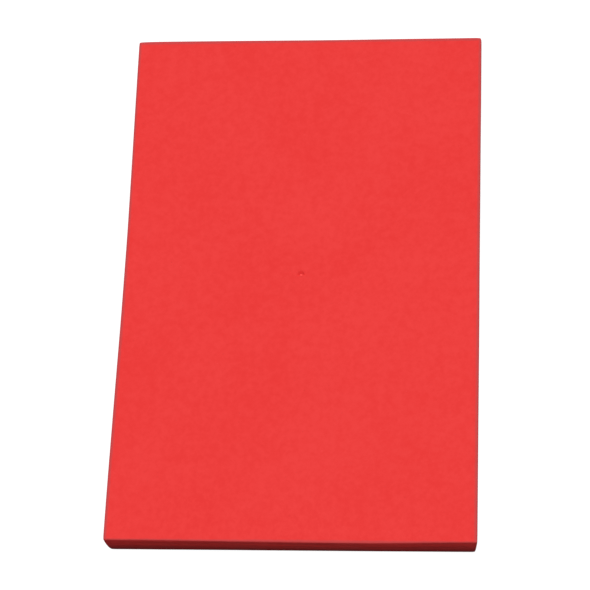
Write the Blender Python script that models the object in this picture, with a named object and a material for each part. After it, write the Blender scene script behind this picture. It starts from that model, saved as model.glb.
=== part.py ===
"""Detailing clay bar: one flat slab of kneadable polymer clay, lying on its underside.

The bar is rubbed over wetted paintwork, where the grit that is mixed through the clay lifts bonded dirt.
It is a single homogeneous piece, so the model is a single closed solid.

Lengths are in metres and +Z is up. The origin is the centre of the underside. +Y runs along the bar towards
its rear end, and +X runs across it to the right.
"""

import math

import bmesh
import bpy

# Driving dimensions, those of a full-size 200 g bar.
BAR_LENGTH = 0.150
BAR_WIDTH = 0.0975
BAR_THICKNESS = 0.0087

# The long sides are upright above the waist. Below it each leans in by this much towards the underside.
WAIST_HEIGHT = 0.0055
SIDE_LEAN = 0.0007

# Soft clay keeps no sharp edge, so every edge and corner is rounded, but not the shallow bend at the waist.
EDGE_RADIUS = 0.0007
EDGE_SEGMENTS = 5
LEAST_BEND = math.radians(45)

# Opaque red pigment in a dull, slightly waxy binder. The colour is linear RGB.
CLAY_RED = (0.80, 0.040, 0.038, 1.0)
CLAY_ROUGHNESS = 0.62


def clear_scene():
    """Removes whatever the scene holds."""
    for obj in list(bpy.data.objects):
        bpy.data.objects.remove(obj)


def clay_material():
    """The one compound that the whole bar is made of."""
    material = bpy.data.materials.new("red_clay")
    material.use_nodes = True
    shader = material.node_tree.nodes["Principled BSDF"]
    shader.inputs["Base Color"].default_value = CLAY_RED
    shader.inputs["Roughness"].default_value = CLAY_ROUGHNESS
    shader.inputs["Metallic"].default_value = 0.0
    return material


def slab_mesh(name):
    """An upright block from the waist to the top face, with its lower face extruded down to a narrower underside."""
    shape = bmesh.new()
    bmesh.ops.create_cube(shape, size=1.0)
    upper_height = BAR_THICKNESS - WAIST_HEIGHT
    bmesh.ops.scale(shape, verts=shape.verts, vec=(BAR_WIDTH, BAR_LENGTH, upper_height))
    bmesh.ops.translate(shape, verts=shape.verts, vec=(0.0, 0.0, WAIST_HEIGHT + upper_height / 2))
    lower_face = min(shape.faces, key=lambda face: face.calc_center_median().z)
    extruded = bmesh.ops.extrude_face_region(shape, geom=[lower_face])
    bmesh.ops.delete(shape, geom=[lower_face], context="FACES_ONLY")
    underside = [item for item in extruded["geom"] if isinstance(item, bmesh.types.BMVert)]
    bmesh.ops.translate(shape, verts=underside, vec=(0.0, 0.0, -WAIST_HEIGHT))
    bmesh.ops.scale(shape, verts=underside, vec=(1 - 2 * SIDE_LEAN / BAR_WIDTH, 1.0, 1.0))
    mesh = bpy.data.meshes.new(name)
    shape.to_mesh(mesh)
    shape.free()
    return mesh


def round_edges(bar):
    """Rounds the twelve edges of the block alike, so that its eight corners are parts of a ball."""
    bevel = bar.modifiers.new("rounded_edges", "BEVEL")
    bevel.width = EDGE_RADIUS
    bevel.segments = EDGE_SEGMENTS
    bevel.limit_method = "ANGLE"
    bevel.angle_limit = LEAST_BEND


def make_clay_bar():
    mesh = slab_mesh("clay_bar")
    mesh.shade_smooth()
    mesh.materials.append(clay_material())
    bar = bpy.data.objects.new("clay_bar", mesh)
    bpy.context.scene.collection.objects.link(bar)
    round_edges(bar)
    return bar


clear_scene()
make_clay_bar()
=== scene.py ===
# %% [markdown]
# # A detailing clay bar
#
# A clay bar is a slab of kneadable putty with a very fine abrasive mixed all through it. It is rubbed over
# wet paintwork, where it picks up the grit that washing leaves behind. It has no handle, no backing and no
# moving part. It is one lump of one material, so everything that makes it look real is in how the lump has
# been pressed, cut and handled, and in how dull or waxy each of its faces is.
#
# The CAD model settles its size and place. This lesson loads it as a fixed frame, and then models the slab
# again at the same size, with the small faults that a soft thing always has.

# %% Load the frame
import math

import bmesh
import bpy
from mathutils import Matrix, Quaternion, Vector


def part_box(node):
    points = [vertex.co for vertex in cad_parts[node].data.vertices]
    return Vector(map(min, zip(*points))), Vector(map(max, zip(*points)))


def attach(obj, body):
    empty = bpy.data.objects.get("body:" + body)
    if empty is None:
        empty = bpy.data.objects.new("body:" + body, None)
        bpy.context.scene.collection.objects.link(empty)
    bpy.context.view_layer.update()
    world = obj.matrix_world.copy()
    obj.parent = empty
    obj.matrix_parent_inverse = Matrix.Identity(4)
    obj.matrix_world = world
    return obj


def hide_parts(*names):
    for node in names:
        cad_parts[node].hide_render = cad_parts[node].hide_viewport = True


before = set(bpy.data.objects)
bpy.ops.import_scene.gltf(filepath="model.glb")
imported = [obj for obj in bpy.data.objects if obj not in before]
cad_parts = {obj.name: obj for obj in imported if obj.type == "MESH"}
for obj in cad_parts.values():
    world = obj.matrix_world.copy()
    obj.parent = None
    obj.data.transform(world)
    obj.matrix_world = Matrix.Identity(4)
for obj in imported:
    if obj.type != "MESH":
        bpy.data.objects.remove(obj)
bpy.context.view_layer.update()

MM = 0.001

low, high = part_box("clay_bar")
centre = (low + high) / 2
size = high - low
half_width = size.x / 2
half_length = size.y / 2
thickness = size.z
print("CAD bar, in mm:", [round(side / MM, 2) for side in size])

# %% [markdown]
# ## The camera
#
# The bar is looked down on from over its front end, a little from the right, and the view is tilted so that
# the bar's long sides stand nearly upright in it. A long lens from far off keeps the long sides close to
# parallel. The camera's place is counted in bar widths, so it would suit a bar of another size as well.

# %% Camera
LENS = 150.22
SENSOR = 36.0
AZIMUTH = math.radians(13.531)
ELEVATION = math.radians(65.300)
ROLL = math.radians(-12.450)
DISTANCE = 6.9242 * size.x
AIM = Vector((-0.01986, -0.00870, 0.0)) * size.x
VIEW_AXIS = Vector((0, 0, 1))

towards_camera = Vector((
    math.sin(AZIMUTH) * math.cos(ELEVATION),
    -math.cos(AZIMUTH) * math.cos(ELEVATION),
    math.sin(ELEVATION),
))
turn = towards_camera.to_track_quat("Z", "Y") @ Quaternion(VIEW_AXIS, ROLL)
bpy.ops.object.camera_add(location=AIM + towards_camera * DISTANCE, rotation=turn.to_euler())
camera = bpy.context.object
camera.data.lens = LENS
camera.data.sensor_width = SENSOR
bpy.context.scene.camera = camera
print("camera stands", round(DISTANCE, 3), "m from the bar")

# %% [markdown]
# ## Floor and light
#
# The bar lies on a pale table under one very wide, soft light overhead. Such a light leaves the top face
# evenly lit from end to end. It leans a little towards the back of the bar, so the front wall falls away
# into shade.
#
# A white table would throw so much light back at the walls that they would look as bright as the top. So
# the table here is made in two parts: a dull grey that bounces little, and a glow that only the camera
# sees, which lifts it to nearly white. The world is dim as a light in the same way, but the camera and
# reflections see it white, so the clay still has the pale glaze that a bright room gives it.

# %% Colour handling
bpy.context.scene.view_settings.view_transform = "Standard"
print("view transform:", bpy.context.scene.view_settings.view_transform)

# %% Floor
FLOOR_SIZE = 6.0
FLOOR_GAP = 0.1 * MM
FLOOR_BOUNCE = 0.18
FLOOR_GLOW = 0.94


def shader_node(tree, kind, **sockets):
    """Adds a node and sets the sockets that are named, with _ for a space in a name."""
    node = tree.nodes.new(kind)
    for name, value in sockets.items():
        node.inputs[name.replace("_", " ")].default_value = value
    return node


def join(tree, source, target):
    tree.links.new(source, target)


bpy.ops.mesh.primitive_plane_add(size=FLOOR_SIZE, location=(0, 0, -FLOOR_GAP))
floor = bpy.context.object
floor.name = "floor"

table_top = bpy.data.materials.new("pale_table")
table_top.use_nodes = True
tree = table_top.node_tree
tree.nodes.clear()
grey = (FLOOR_BOUNCE, FLOOR_BOUNCE, FLOOR_BOUNCE, 1)
dull = shader_node(tree, "ShaderNodeBsdfDiffuse", Color=grey)
glow = shader_node(tree, "ShaderNodeEmission")
path = shader_node(tree, "ShaderNodeLightPath")
level = tree.nodes.new("ShaderNodeMath")
level.operation = "MULTIPLY"
level.inputs[1].default_value = FLOOR_GLOW
both = shader_node(tree, "ShaderNodeAddShader")
clear = shader_node(tree, "ShaderNodeBsdfTransparent")
side = shader_node(tree, "ShaderNodeNewGeometry")
seen = shader_node(tree, "ShaderNodeMixShader")
out = shader_node(tree, "ShaderNodeOutputMaterial")
join(tree, path.outputs["Is Camera Ray"], level.inputs[0])
join(tree, level.outputs[0], glow.inputs["Strength"])
join(tree, dull.outputs[0], both.inputs[0])
join(tree, glow.outputs[0], both.inputs[1])
join(tree, side.outputs["Backfacing"], seen.inputs[0])
join(tree, both.outputs[0], seen.inputs[1])
join(tree, clear.outputs[0], seen.inputs[2])
join(tree, seen.outputs[0], out.inputs["Surface"])
floor.data.materials.append(table_top)
print("floor is", FLOOR_SIZE, "m across")

# %% World
WORLD_LIGHT = 0.03
WORLD_SEEN = 1.0
WHITE = (1, 1, 1, 1)

world = bpy.data.worlds.new("studio")
bpy.context.scene.world = world
world.use_nodes = True
tree = world.node_tree
tree.nodes.clear()
path = shader_node(tree, "ShaderNodeLightPath")
looked_at = tree.nodes.new("ShaderNodeMath")
looked_at.operation = "MAXIMUM"
strength = shader_node(tree, "ShaderNodeMapRange", To_Min=WORLD_LIGHT, To_Max=WORLD_SEEN)
background = shader_node(tree, "ShaderNodeBackground", Color=WHITE)
out = shader_node(tree, "ShaderNodeOutputWorld")
join(tree, path.outputs["Is Camera Ray"], looked_at.inputs[0])
join(tree, path.outputs["Is Glossy Ray"], looked_at.inputs[1])
join(tree, looked_at.outputs[0], strength.inputs["Value"])
join(tree, strength.outputs["Result"], background.inputs["Strength"])
join(tree, background.outputs[0], out.inputs["Surface"])

# %% Overhead light
LIGHT_STRENGTH = 3.20
LIGHT_SPREAD = math.radians(90)
LIGHT_LEAN = math.radians(9)

bpy.ops.object.light_add(type="SUN", location=(0, 0, 1), rotation=(-LIGHT_LEAN, 0, 0))
overhead = bpy.context.object
overhead.name = "overhead_softbox"
overhead.data.energy = LIGHT_STRENGTH
overhead.data.angle = LIGHT_SPREAD
print("light spreads over", round(math.degrees(LIGHT_SPREAD)), "degrees")

# %% [markdown]
# ## The slab
#
# Clay is rolled flat between sheets of film and cut to length. It could be modelled as a finished box with a
# bump map, but then its outline would be as straight as a ruler, and a real bar's is not. So it starts as a
# cage: a cube of the right size, with its edges rounded and with cuts right across it. The cage is pushed
# about, a fraction of a millimetre at a time, and then smoothed.

# %% Helpers for edit mode
def deselect_everything():
    """Leaves nothing selected and no object active in edit mode."""
    if bpy.context.object and bpy.context.object.mode == "EDIT":
        bpy.ops.object.mode_set(mode="OBJECT")
    bpy.ops.object.select_all(action="DESELECT")


def pick(kind, test):
    """Selects the VERT, EDGE or FACE elements of the mesh being edited that pass the test, and no others."""
    bpy.ops.mesh.select_mode(type=kind)
    bpy.ops.mesh.select_all(action="DESELECT")
    mesh = bmesh.from_edit_mesh(bpy.context.object.data)
    elements = {"VERT": mesh.verts, "EDGE": mesh.edges, "FACE": mesh.faces}[kind]
    found = [element for element in elements if test(element)]
    for element in found:
        element.select_set(True)
    mesh.select_flush_mode()
    bmesh.update_edit_mesh(bpy.context.object.data)
    return len(found)


# %% Cube of the bar's size
deselect_everything()
bpy.ops.mesh.primitive_cube_add(size=1, location=centre, scale=size)
bar = bpy.context.object
bar.name = "clay_slab"
bpy.ops.object.transform_apply(location=True, rotation=True, scale=True)
print("slab, in mm:", [round(side / MM, 2) for side in bar.dimensions])

# %% [markdown]
# ## Leaning walls and blunt corners
#
# The press leaves the underside a little narrower than the top, so the long walls lean in. The cube is also
# made a little too short at the front, which leaves room for a bulge there. Two of the four upright edges
# were rounded off when the slab was lifted out. The other two stayed crisp.

# %% Underside drawn in
SIDE_LEAN = 0.76 * MM
FRONT_BULGE = 0.46 * MM

bpy.ops.object.mode_set(mode="EDIT")
pick("VERT", lambda v: v.co.z < thickness / 2)
bpy.ops.transform.resize(value=(1 - SIDE_LEAN / half_width, 1, 1), center_override=(0, 0, 0))
pick("VERT", lambda v: v.co.y < 0)
bpy.ops.transform.translate(value=(0, FRONT_BULGE, 0))

# %% Blunt corners
def blunt_corner(side, end, amount):
    """Rounds the upright edge on the given side (-1 left, 1 right) and end (-1 front, 1 back)."""
    pick("EDGE", lambda e: all(v.co.x * side > 0 and v.co.y * end > 0 for v in e.verts))
    bpy.ops.mesh.bevel(offset=amount, segments=2, profile=0.5, affect="EDGES")


FRONT_LEFT_ROUND = 0.5 * MM
BACK_RIGHT_ROUND = 0.7 * MM

blunt_corner(-1, -1, FRONT_LEFT_ROUND)
blunt_corner(1, 1, BACK_RIGHT_ROUND)
print("faces with blunt corners:", len(bmesh.from_edit_mesh(bar.data).faces))

# %% Cuts across the cage
CUTS_ALONG = 18
CUTS_ACROSS = 12
END_MARGIN = 3.0 * MM


def cut_across(place, direction):
    bpy.ops.mesh.select_all(action="SELECT")
    bpy.ops.mesh.bisect(plane_co=place, plane_no=direction)


def even_steps(reach, count):
    """Places from -reach to reach, both included, so that count gaps lie between them."""
    return [reach * (2 * step / count - 1) for step in range(count + 1)]


for y in even_steps(half_length - END_MARGIN, CUTS_ALONG):
    cut_across((0, y, 0), (0, 1, 0))
for x in even_steps(half_width - END_MARGIN, CUTS_ACROSS):
    cut_across((x, 0, 0), (1, 0, 0))
print("faces after the cuts:", len(bmesh.from_edit_mesh(bar.data).faces))

# %% [markdown]
# ## Pushing the cage about
#
# The left side is pinched in about half way along, where fingers held it. The top of the front edge bulges
# out over a straight foot, because the clay spread under the press there. Each is a corner or two of the
# cage, moved with proportional editing so that the neighbours follow. While the top of the front edge
# moves, its foot is hidden, because what is hidden doesn't follow.

# %% Helper for a soft push
def push(test, move, reach):
    """Moves the corners of the cage that pass the test. What lies within reach follows smoothly."""
    count = pick("VERT", test)
    bpy.ops.transform.translate(
        value=move,
        use_proportional_edit=True,
        proportional_edit_falloff="SMOOTH",
        proportional_size=reach,
    )
    return count


def near(value, place, within=4 * MM):
    return abs(value - place) < within


# %% Pinched left side
PINCH = 0.55 * MM
PINCH_PLACE = 8 * MM
PINCH_REACH = 78 * MM
SIDE_ZONE = 2 * MM

count = push(
    lambda v: near(v.co.x, -half_width, SIDE_ZONE) and near(v.co.y, PINCH_PLACE),
    (PINCH, 0, 0),
    PINCH_REACH,
)
print("pinched corners of the cage:", count)

# %% Bulging front edge
# Each bulge: its place across the bar, how far it stands out, and how far its neighbours follow.
BULGES = ((0, 0.30 * MM, 44 * MM), (21 * MM, 0.27 * MM, 26 * MM))
EDGE_ZONE = 1 * MM

pick("VERT", lambda v: v.co.z < thickness / 2)
bpy.ops.mesh.hide()
for place, bulge, reach in BULGES:
    count = push(
        lambda v: v.co.y < -half_length + EDGE_ZONE and near(v.co.x, place),
        (0, -bulge, 0),
        reach,
    )
    print("bulged corners of the cage:", count)
bpy.ops.mesh.reveal(select=False)

# %% Dropped back corner
CORNER_DROP = 0.12 * MM
CORNER_REACH = 4 * MM
BACK_DIP = 0.13 * MM
DIP_PLACE = 7 * MM
DIP_REACH = 42 * MM


def on_back_rim(vert):
    return vert.co.y > half_length - EDGE_ZONE and vert.co.z > thickness / 2


count = push(
    lambda v: on_back_rim(v) and v.co.x < -half_width + EDGE_ZONE,
    (0, -CORNER_DROP, -CORNER_DROP),
    CORNER_REACH,
)
print("dropped corners of the cage:", count)
count = push(
    lambda v: on_back_rim(v) and near(v.co.x, DIP_PLACE),
    (0, -BACK_DIP, 0),
    DIP_REACH,
)
print("dipped corners of the cage:", count)

# %% [markdown]
# ## Soft rims and barrelled ends
#
# Clay can't hold a knife edge, so every rim is rounded over about half a millimetre. Then two cuts run round
# the walls, and the end walls are swelled between them into a shallow barrel.

# %% Rounded rims
RIM_ROUND = 0.55 * MM
LEAST_BEND = math.radians(50)

bpy.ops.mesh.select_mode(type="EDGE")
bpy.ops.mesh.select_all(action="DESELECT")
bpy.ops.mesh.edges_select_sharp(sharpness=LEAST_BEND)
bpy.ops.mesh.bevel(offset=RIM_ROUND, segments=2, profile=0.6, affect="EDGES")
print("faces with soft rims:", len(bmesh.from_edit_mesh(bar.data).faces))

# %% Barrelled ends
LOWER_CUT = 2.6 * MM
UPPER_CUT = 5.9 * MM
BARREL = 0.25 * MM
LOWER_SHARE = 0.6
FOOT_SHARE = -0.5
CUT_SLACK = 0.1 * MM

for z in (LOWER_CUT, UPPER_CUT):
    cut_across((0, 0, z), (0, 0, 1))


def swell(test, share):
    """Moves the end walls out where the corners pass the test, by a share of the barrel."""
    pick("VERT", test)
    stretch = (1, 1 + share * BARREL / half_length, 1)
    bpy.ops.transform.resize(value=stretch, center_override=(0, 0, 0))


swell(lambda v: near(v.co.z, LOWER_CUT, CUT_SLACK), LOWER_SHARE)
swell(lambda v: near(v.co.z, UPPER_CUT, CUT_SLACK), 1.0)
swell(lambda v: v.co.z < LOWER_CUT - 2 * CUT_SLACK, FOOT_SHARE)
print("faces in the cage:", len(bmesh.from_edit_mesh(bar.data).faces))

# %% Smooth
SMOOTH_LEVELS = 3

bpy.ops.object.mode_set(mode="OBJECT")
smooth = bar.modifiers.new("smooth", "SUBSURF")
smooth.levels = SMOOTH_LEVELS
smooth.render_levels = SMOOTH_LEVELS
bpy.ops.object.modifier_apply(modifier=smooth.name)
bpy.ops.object.shade_smooth()
print("faces after smoothing:", len(bar.data.polygons))

# %% [markdown]
# ## Shallow waves and one small blemish
#
# A pressed face is never quite flat. A Displace modifier with a soft cloud texture lifts and lowers the
# whole skin by a few hundredths of a millimetre, over waves a couple of centimetres long.
#
# Near the middle of the top there is one blemish: a pimple over a trapped air bubble, with a crescent dent
# behind it and a second, fainter dent beside it. The faces there are divided again, so that there are enough
# corners to shape something that small, and then they are pushed up and down as the cage was.

# %% Shallow waves
WAVE_LENGTH = 22 * MM
WAVE_HEIGHT = 0.05 * MM

waves = bpy.data.textures.new("waves", "CLOUDS")
waves.noise_scale = WAVE_LENGTH
waves.noise_depth = 1
lift = bar.modifiers.new("waves", "DISPLACE")
lift.texture = waves
lift.texture_coords = "LOCAL"
lift.strength = WAVE_HEIGHT
lift.mid_level = 0.5
bpy.ops.object.modifier_apply(modifier=lift.name)
print("waves are", round(WAVE_HEIGHT / MM, 2), "mm high")

# %% Finer faces round the blemish
PIMPLE = Vector((0.45 * MM, 1.4 * MM, high.z))
FINE_REACH = 5 * MM
FINE_CUTS = 3


def on_top_within(point, x, y, reach):
    """Tells whether a point is in the upper half of the bar and within reach of a place seen from above."""
    return point.z > thickness / 2 and math.hypot(point.x - x, point.y - y) < reach


def in_fine_patch(face):
    return on_top_within(face.calc_center_median(), PIMPLE.x, PIMPLE.y, FINE_REACH)


bpy.ops.object.mode_set(mode="EDIT")
count = pick("FACE", in_fine_patch)
bpy.ops.mesh.subdivide(number_cuts=FINE_CUTS)
print("faces divided again:", count)

# %% Blemish
PIMPLE_HEIGHT = 0.22 * MM
PIMPLE_REACH = 0.6 * MM
DENT_DEPTH = 0.20 * MM
DENT_REACH = 0.55 * MM
DENT_RADIUS = 0.75 * MM
DENT_START = 25
DENT_SWEEP = 150
DENT_STEPS = 7
SIDE_DENT = (-3.1 * MM, 1.0 * MM)
SIDE_DENT_REACH = 0.9 * MM
MARK_SIZE = 0.2 * MM


def mark(offset, height, reach):
    """Lifts the top beside the pimple, or sinks it where the height is negative."""
    x = PIMPLE.x + offset[0]
    y = PIMPLE.y + offset[1]
    push(lambda v: on_top_within(v.co, x, y, MARK_SIZE), (0, 0, height), reach)


mark((0, 0), PIMPLE_HEIGHT, PIMPLE_REACH)
for step in range(DENT_STEPS):
    angle = math.radians(DENT_START + DENT_SWEEP * step / (DENT_STEPS - 1))
    offset = (DENT_RADIUS * math.cos(angle), DENT_RADIUS * math.sin(angle))
    mark(offset, -DENT_DEPTH, DENT_REACH)
mark(SIDE_DENT, -DENT_DEPTH / 2, SIDE_DENT_REACH)
bpy.ops.object.mode_set(mode="OBJECT")
print("faces in all:", len(bar.data.polygons))

# %% [markdown]
# ## Back to size
#
# Smoothing shrinks a shape and bulging grows it, so by now the slab is a few hundredths of a millimetre off
# the frame. Each side is measured, and the mesh is scaled and shifted along it until it fits. The change
# is too small to see, but it keeps the visual model inside the solid that it stands for.

# %% Fit to the frame
def reach_of(axis):
    """The lowest and highest place of the bar's corners along an axis."""
    places = [vert.co[axis] for vert in bar.data.vertices]
    return min(places), max(places)


for axis in range(3):
    least, most = reach_of(axis)
    print("before, along", "XYZ"[axis], round(least / MM, 3), "to", round(most / MM, 3))
    share = Vector((1, 1, 1))
    share[axis] = size[axis] / (most - least)
    shift = Vector((0, 0, 0))
    shift[axis] = low[axis] - least * share[axis]
    bpy.ops.object.mode_set(mode="EDIT")
    bpy.ops.mesh.select_all(action="SELECT")
    bpy.ops.transform.resize(value=share, center_override=(0, 0, 0))
    bpy.ops.transform.translate(value=shift)
    bpy.ops.object.mode_set(mode="OBJECT")
    least, most = reach_of(axis)
    print("after, along", "XYZ"[axis], round(least / MM, 3), "to", round(most / MM, 3))

# %% [markdown]
# ## Clay, as a material
#
# The clay is one red putty all through, so its three finishes share everything but the marks on them. The
# broad faces were pressed against film and are smooth, with hairline creases. The two ends were cut, and
# the blade dragged fine level lines across them. The long sides slid along the press and have longer,
# softer lines.
#
# An image wrapped round the bar would need seams and would blur close up, so every effect is worked out
# from the place on the bar instead. What the finishes share is built once, as shader node groups: how close
# a point is to a rim or to the foot, the mottling of the pigment, the abrasive grain, and the drag lines.
# Each group reads places in metres, so its scales are real sizes. A noise scale of 1 / (3 mm) makes spots
# about 3 mm across.

# %% Helpers for node groups
def new_group(name, inputs, outputs):
    """An empty shader node group. The inputs and outputs are (name, kind) pairs."""
    group = bpy.data.node_groups.new(name, "ShaderNodeTree")
    for direction, sockets in (("INPUT", inputs), ("OUTPUT", outputs)):
        for label, kind in sockets:
            group.interface.new_socket(name=label, in_out=direction, socket_type="NodeSocket" + kind)
    return group, group.nodes.new("NodeGroupInput"), group.nodes.new("NodeGroupOutput")


def feed(tree, source, target):
    """Sets a socket to a number or a colour, or joins another node's output to it."""
    if isinstance(source, (int, float, tuple)):
        target.default_value = source
    else:
        join(tree, source, target)


def maths(tree, operation, *operands):
    """A Math node. Each operand is a number or another node's output. Returns its output."""
    node = tree.nodes.new("ShaderNodeMath")
    node.operation = operation
    for socket, operand in zip(node.inputs, operands):
        feed(tree, operand, socket)
    return node.outputs[0]


def remap(tree, value, from_low, from_high, to_low=0.0, to_high=1.0):
    """A smooth step from one range to another."""
    node = tree.nodes.new("ShaderNodeMapRange")
    node.interpolation_type = "SMOOTHSTEP"
    for label, number in (
        ("From Min", from_low),
        ("From Max", from_high),
        ("To Min", to_low),
        ("To Max", to_high),
    ):
        node.inputs[label].default_value = number
    join(tree, value, node.inputs["Value"])
    return node.outputs["Result"]


def noise(tree, place, spot, detail=2.0, roughness=0.5, distortion=0.0):
    """Noise with spots of about the given size, in metres."""
    node = shader_node(
        tree,
        "ShaderNodeTexNoise",
        Scale=1 / spot,
        Detail=detail,
        Roughness=roughness,
        Distortion=distortion,
    )
    join(tree, place, node.inputs["Vector"])
    return node.outputs["Fac"]


def mixed(tree, first, second, share):
    """Two noises added up, the first with the given share and the second with the rest."""
    lesser = maths(tree, "MULTIPLY", first, share)
    rest = maths(tree, "MULTIPLY", second, 1 - share)
    return maths(tree, "ADD", lesser, rest)


def scattered_dots(tree, place, spacing, edge, keep):
    """Round dots, at most one to a cell of the given size. Returns the mask and the cells' random colours.

    Edge is the pair of distances from a cell's middle, as shares of its size, that a dot fades in between.
    Keep is a channel of the random colours, and the pair of values of it that a dot fades in between.
    """
    cells = shader_node(tree, "ShaderNodeTexVoronoi", Scale=1 / spacing)
    join(tree, place, cells.inputs["Vector"])
    chance = tree.nodes.new("ShaderNodeSeparateColor")
    join(tree, cells.outputs["Color"], chance.inputs[0])
    channel, none, full = keep
    spot = remap(tree, cells.outputs["Distance"], *edge)
    kept = remap(tree, chance.outputs[channel], none, full)
    return maths(tree, "MULTIPLY", spot, kept), chance.outputs


def blend_colour(tree, share, first, second):
    """Mixes two colours, each a tuple or another node's output."""
    node = tree.nodes.new("ShaderNodeMix")
    node.data_type = "RGBA"
    # A Mix node has its sockets for colour after those for numbers and vectors.
    for socket, operand in ((0, share), (6, first), (7, second)):
        feed(tree, operand, node.inputs[socket])
    return node.outputs[2]


# %% Group: how close to a rim or the foot
RIM_REACH = 0.7 * MM
RIM_FADE = 1.8 * RIM_REACH
RIM_FRAY = 0.4 * MM
FRONT_INSET = 0.10 * MM
BACK_INSET = 0.50 * MM
FRAY_SIZE = 1.5 * MM
# FOOT_BASE and FOOT_TOP bound the painted shade at the foot of the walls.
FOOT_BASE = 1.2 * MM
FOOT_TOP = 6.5 * MM


def rim_group():
    """Rim is 1 on the rims of the bar and 0 away from them; it places the painted rim shade and reflection,
    and the duller roughness there. Foot is 1 at the foot of the walls and places the painted shade that
    darkens the walls towards the foot.

    How deep a point lies inside the bar is measured across it, along it and upright. On a flat face one
    of the three is nothing. On a rim two are, so the middle one says how far off the nearest rim is. The
    left side is pinched in and the ends don't reach the box, so those depths are measured from further in.
    """
    group, inputs, outputs = new_group(
        "rim_and_foot",
        [("Place", "Vector")],
        [("Rim", "Float"), ("Foot", "Float")],
    )
    split = group.nodes.new("ShaderNodeSeparateXYZ")
    join(group, inputs.outputs["Place"], split.inputs[0])
    from_middle = maths(group, "ABSOLUTE", split.outputs["Y"])
    pinched = remap(group, from_middle, half_length, 0.0, 0.0, PINCH)
    from_right = maths(group, "SUBTRACT", half_width, split.outputs["X"])
    from_side = maths(group, "ADD", half_width, split.outputs["X"])
    from_left = maths(group, "SUBTRACT", from_side, pinched)
    across = maths(group, "MINIMUM", from_left, from_right)
    from_back = maths(group, "SUBTRACT", half_length - BACK_INSET, split.outputs["Y"])
    from_front = maths(group, "ADD", half_length - FRONT_INSET, split.outputs["Y"])
    along = maths(group, "MINIMUM", from_back, from_front)
    above = maths(group, "SUBTRACT", thickness, split.outputs["Z"])
    upright = maths(group, "MINIMUM", split.outputs["Z"], above)
    lesser = maths(group, "MINIMUM", across, along)
    greater = maths(group, "MAXIMUM", across, along)
    middle = maths(group, "MAXIMUM", lesser, maths(group, "MINIMUM", greater, upright))
    ragged = noise(group, inputs.outputs["Place"], FRAY_SIZE, detail=3.0)
    frayed = maths(group, "ADD", middle, maths(group, "MULTIPLY", ragged, RIM_FRAY))
    join(group, remap(group, frayed, RIM_FADE, RIM_REACH), outputs.inputs["Rim"])
    join(group, remap(group, split.outputs["Z"], FOOT_TOP, FOOT_BASE), outputs.inputs["Foot"])
    return group


# %% Group: mottled pigment
# Each pair says where an effect is nothing and where it is full.
CLOUD_SIZE = 14 * MM
CLOUD_SHARE = 0.25
BLOTCH_SIZE = 2.2 * MM
PALE_LEVELS = (0.36, 0.64)
SPECK_SPACING = 1.3 * MM
SPECK_EDGE = (0.17, 0.08)
SPECK_KEEP = ("Red", 0.72, 0.80)
SPECK_STRENGTH = 0.30
DARK_SPECK = (0.55, 0.022, 0.020, 1.0)
PALE_SPECK = (0.86, 0.085, 0.080, 1.0)
# Painted highlight on the pimple, and painted shade in the crescent dent behind it.
PIMPLE_HIGHLIGHT_RED = (0.97, 0.075, 0.070, 1.0)
DENT_SHADE_RED = (0.58, 0.016, 0.016, 1.0)
DENT_SHADE_STRENGTH = 0.8
HIGHLIGHT_EDGE = (0.55 * MM, 0.30 * MM)
HOLLOW_EDGE = (1.15 * MM, 0.85 * MM)
HOLLOW_START = (PIMPLE.y - 0.2 * MM, PIMPLE.y + 0.3 * MM)


def pigment_group():
    """Blotches of slightly richer and paler red, specks of filler, and the painted highlight and painted
    shade of the blemish.

    The pimple is painted paler as a painted highlight, and the crescent of the dent behind it is painted
    darker as painted shade.
    """
    group, inputs, outputs = new_group(
        "mottled_pigment",
        [("Place", "Vector"), ("Rich", "Color"), ("Pale", "Color")],
        [("Color", "Color")],
    )
    place = inputs.outputs["Place"]
    clouds = noise(group, place, CLOUD_SIZE, detail=3.0, roughness=0.6, distortion=0.6)
    blotches = noise(group, place, BLOTCH_SIZE, detail=4.0, roughness=0.8)
    share = remap(group, mixed(group, clouds, blotches, CLOUD_SHARE), *PALE_LEVELS)
    clay_colour = blend_colour(group, share, inputs.outputs["Rich"], inputs.outputs["Pale"])
    specks, chance = scattered_dots(group, place, SPECK_SPACING, SPECK_EDGE, SPECK_KEEP)
    tone = blend_colour(group, chance["Green"], DARK_SPECK, PALE_SPECK)
    faint = maths(group, "MULTIPLY", specks, SPECK_STRENGTH)
    speckled = blend_colour(group, faint, clay_colour, tone)
    gap = group.nodes.new("ShaderNodeVectorMath")
    gap.operation = "DISTANCE"
    gap.inputs[1].default_value = PIMPLE
    join(group, place, gap.inputs[0])
    # The pimple is painted paler: a painted highlight.
    highlight_mask = remap(group, gap.outputs["Value"], *HIGHLIGHT_EDGE)
    split = group.nodes.new("ShaderNodeSeparateXYZ")
    join(group, place, split.inputs[0])
    behind = remap(group, split.outputs["Y"], *HOLLOW_START)
    ring = remap(group, gap.outputs["Value"], *HOLLOW_EDGE)
    crescent = maths(group, "MULTIPLY", ring, behind)
    # The crescent behind the pimple is painted darker: painted shade in the dent.
    dent_shade = maths(group, "MULTIPLY", crescent, DENT_SHADE_STRENGTH)
    dent_shaded = blend_colour(group, dent_shade, speckled, DENT_SHADE_RED)
    join(group, blend_colour(group, highlight_mask, dent_shaded, PIMPLE_HIGHLIGHT_RED), outputs.inputs["Color"])
    return group


# %% Group: abrasive grain
TOOTH_SIZE = 0.35 * MM
TOOTH_SHARE = 0.35
LUMP_SIZE = 1.8 * MM
HOLE_SPACING = 2.6 * MM
HOLE_EDGE = (0.10, 0.03)
HOLE_KEEP = ("Blue", 0.62, 0.70)
HOLE_DEPTH = 0.8


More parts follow.
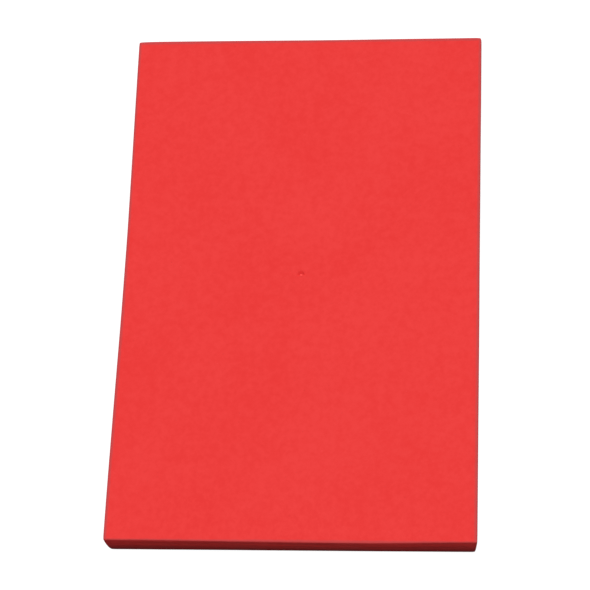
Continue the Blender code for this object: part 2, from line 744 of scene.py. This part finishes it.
def grain_group():
    """Height of the fine grain, from 0 to 1: a matt tooth, soft lumps, and scattered pin holes."""
    group, inputs, outputs = new_group(
        "abrasive_grain",
        [("Place", "Vector")],
        [("Height", "Float"), ("Holes", "Float")],
    )
    place = inputs.outputs["Place"]
    tooth = noise(group, place, TOOTH_SIZE, detail=3.0, roughness=0.65)
    lumps = noise(group, place, LUMP_SIZE, detail=2.0)
    holes, _ = scattered_dots(group, place, HOLE_SPACING, HOLE_EDGE, HOLE_KEEP)
    sunk = maths(group, "MULTIPLY", holes, HOLE_DEPTH)
    height = maths(group, "SUBTRACT", mixed(group, tooth, lumps, TOOTH_SHARE), sunk)
    join(group, height, outputs.inputs["Height"])
    join(group, holes, outputs.inputs["Holes"])
    return group


# %% Group: drag lines
FINE_LINE = 0.35 * MM
BROAD_LINE = 1.4 * MM
FINE_SHARE = 0.5


def drag_group():
    """Drag lines. The place is stretched before it comes in, so the spots of the noise come out as lines."""
    group, inputs, outputs = new_group("drag_lines", [("Stretched", "Vector")], [("Height", "Float")])
    fine = noise(group, inputs.outputs["Stretched"], FINE_LINE, detail=3.0, roughness=0.6)
    broad = noise(group, inputs.outputs["Stretched"], BROAD_LINE, detail=1.0)
    join(group, mixed(group, fine, broad, FINE_SHARE), outputs.inputs["Height"])
    return group


rim_and_foot = rim_group()
mottled_pigment = pigment_group()
abrasive_grain = grain_group()
drag_lines = drag_group()
print("node groups:", len(bpy.data.node_groups))

# %% [markdown]
# ## Three finishes
#
# The same clay is dull where it was cut and waxy where it was pressed. Three separate materials could be
# built by hand, but they would soon drift apart, so one function makes all three. They differ in how the
# drag lines are stretched and how deep they are, in how rough they are, and in how strong their painted
# rim shade, painted foot shade and streaking are. The rims are rubbed dull, and they are painted darker and
# pinker as painted shade with a painted pale reflection. The walls are painted darker towards the foot as
# painted shade.

# %% Clay
RICH_RED = (0.780, 0.0315, 0.0290, 1.0)
PALE_RED = (0.808, 0.0405, 0.0375, 1.0)
# Painted rim shade with a painted pale reflection: the rims are made darker and pinker.
RIM_SHADE_AND_SHEEN = (0.38, 0.075, 0.080, 1.0)
STREAK_RED = (0.42, 0.016, 0.018, 1.0)
# Painted shade: the walls are made darker towards the foot.
FOOT_SHADE_RED = (0.25, 0.010, 0.012, 1.0)
SPECULAR_LEVEL = 0.13
STREAK_LEVELS = (0.44, 0.58)
HANDLED_SIZE = 18 * MM
HANDLED_LEVELS = (0.35, 0.65)
RUBBED_DULL = 0.12
HOLES_DULL = 0.2


def place_group(tree, group):
    node = tree.nodes.new("ShaderNodeGroup")
    node.node_tree = group
    return node


def clay_finish(name, stretch, line_depth, grain_depth, dull, shiny, rim_shade_and_sheen, foot_shade, streak):
    """A finish of the clay.

    The stretch shortens distances along the drag lines. The depths are in metres. Dull and shiny are the
    roughness where the clay was left alone and where it was handled. The three strengths after them are the
    painted rim shade with its painted pale reflection, the painted shade towards the foot of the walls, and
    the streaking.
    """
    material = bpy.data.materials.new(name)
    material.use_nodes = True
    tree = material.node_tree
    shader = tree.nodes["Principled BSDF"]
    shader.inputs["Specular IOR Level"].default_value = SPECULAR_LEVEL
    place = tree.nodes.new("ShaderNodeTexCoord").outputs["Object"]

    rim = place_group(tree, rim_and_foot)
    pigment = place_group(tree, mottled_pigment)
    pigment.inputs["Rich"].default_value = RICH_RED
    pigment.inputs["Pale"].default_value = PALE_RED
    grain = place_group(tree, abrasive_grain)
    lines = place_group(tree, drag_lines)
    stretcher = shader_node(tree, "ShaderNodeMapping", Scale=stretch)
    join(tree, place, stretcher.inputs["Vector"])
    join(tree, stretcher.outputs[0], lines.inputs["Stretched"])
    for node in (rim, pigment, grain):
        join(tree, place, node.inputs["Place"])

    # The rims are painted darker and pinker: painted shade with a painted pale reflection.
    painted_rim_shade = maths(tree, "MULTIPLY", rim.outputs["Rim"], rim_shade_and_sheen)
    streaks = remap(tree, lines.outputs["Height"], *STREAK_LEVELS, 0.0, streak)
    streaked = blend_colour(tree, streaks, pigment.outputs["Color"], STREAK_RED)
    colour = blend_colour(tree, painted_rim_shade, streaked, RIM_SHADE_AND_SHEEN)
    # The walls are painted darker towards the foot: painted shade.
    painted_foot_shade = maths(tree, "MULTIPLY", rim.outputs["Foot"], foot_shade)
    join(tree, blend_colour(tree, painted_foot_shade, colour, FOOT_SHADE_RED), shader.inputs["Base Color"])

    fingered = noise(tree, place, HANDLED_SIZE, detail=4.0, roughness=0.6)
    handled = remap(tree, fingered, *HANDLED_LEVELS, dull, shiny)
    rubbed = maths(tree, "MULTIPLY", rim.outputs["Rim"], RUBBED_DULL)
    pitted = maths(tree, "MULTIPLY", grain.outputs["Holes"], HOLES_DULL)
    scuffed = maths(tree, "ADD", handled, rubbed)
    join(tree, maths(tree, "ADD", scuffed, pitted), shader.inputs["Roughness"])

    deep_grain = maths(tree, "MULTIPLY", grain.outputs["Height"], grain_depth / MM)
    deep_lines = maths(tree, "MULTIPLY", lines.outputs["Height"], line_depth / MM)
    bump = shader_node(tree, "ShaderNodeBump", Strength=1.0, Distance=MM)
    join(tree, maths(tree, "ADD", deep_grain, deep_lines), bump.inputs["Height"])
    join(tree, bump.outputs["Normal"], shader.inputs["Normal"])
    return material


# %% The three finishes
pressed_clay = clay_finish(
    "pressed_clay",
    stretch=(0.25, 1.0, 1.0),
    line_depth=0.006 * MM,
    grain_depth=0.032 * MM,
    dull=0.63,
    shiny=0.56,
    rim_shade_and_sheen=0.52,
    foot_shade=0.0,
    streak=0.0,
)
cut_end_clay = clay_finish(
    "cut_end_clay",
    stretch=(0.04, 1.0, 1.0),
    line_depth=0.120 * MM,
    grain_depth=0.040 * MM,
    dull=0.72,
    shiny=0.60,
    rim_shade_and_sheen=0.25,
    foot_shade=0.85,
    streak=0.40,
)
side_clay = clay_finish(
    "side_clay",
    stretch=(1.0, 0.04, 0.6),
    line_depth=0.080 * MM,
    grain_depth=0.045 * MM,
    dull=0.64,
    shiny=0.52,
    rim_shade_and_sheen=0.40,
    foot_shade=0.70,
    streak=0.30,
)
finishes = (pressed_clay, cut_end_clay, side_clay)
for finish in finishes:
    bar.data.materials.append(finish)
    print("finish:", finish.name, "with", len(finish.node_tree.nodes), "nodes")

# %% Finishes on their faces
FACING = 0.7


def put_finish(finish, test):
    """Gives a finish to the faces that pass the test."""
    count = pick("FACE", test)
    bar.active_material_index = finishes.index(finish)
    bpy.ops.object.material_slot_assign()
    print("faces of", finish.name, count)


bpy.ops.object.mode_set(mode="EDIT")
put_finish(cut_end_clay, lambda f: abs(f.normal.y) > FACING)
put_finish(side_clay, lambda f: abs(f.normal.x) > FACING)
bpy.ops.object.mode_set(mode="OBJECT")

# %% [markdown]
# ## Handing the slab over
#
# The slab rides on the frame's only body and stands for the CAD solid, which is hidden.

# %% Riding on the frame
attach(bar, "root")
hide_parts("clay_bar")
print("riding on root:", bar.name)
